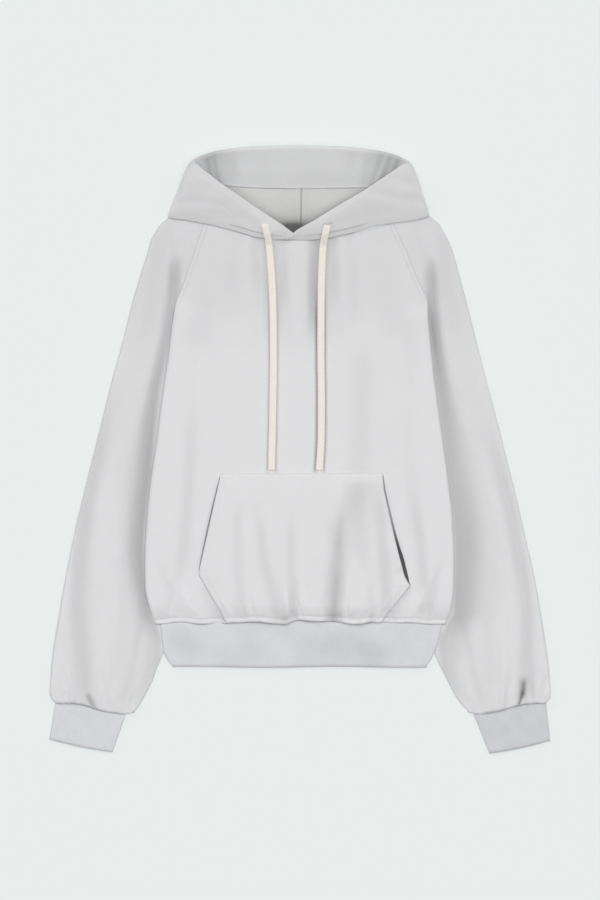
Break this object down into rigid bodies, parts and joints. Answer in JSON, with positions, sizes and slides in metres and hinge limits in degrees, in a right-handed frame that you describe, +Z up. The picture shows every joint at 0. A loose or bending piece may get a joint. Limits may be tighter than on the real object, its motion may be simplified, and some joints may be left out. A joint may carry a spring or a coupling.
{
  "type": "pullover hoodie",
  "caption": "Pullover hoodie with raglan sleeves, kangaroo pocket and drawcord, laid flat on its back with the hood spread open.",
  "frame": {"origin": "middle of the laid-out garment, on the surface that it lies on", "axes": "+Z up out of the surface, +Y from the hem to the hood, +X to the right as seen from above"},
  "size_m": [0.7519, 0.9108, 0.047],
  "materials": {
    "fleece": "soft matt brushed fleece, very light cool grey",
    "rib": "fine knitted rib, very light cool grey",
    "lining": "inside of the hood, matt fleece",
    "cord": "flat woven cotton cord, cream"
  },
  "bodies": {
    "root": {"body_front": "fleece", "body_back": "fleece", "pocket": "fleece", "sleeve_left": "fleece", "sleeve_right": "fleece", "hem_rib": "rib", "cuff_left": "rib", "cuff_right": "rib", "hood_left": "fleece", "hood_right": "fleece", "hood_facing": "lining", "hood_inside_left": "lining", "hood_inside_right": "lining", "hood_folded": "lining", "drawcord_left": "cord", "drawcord_right": "cord"}
  },
  "joints": []
}
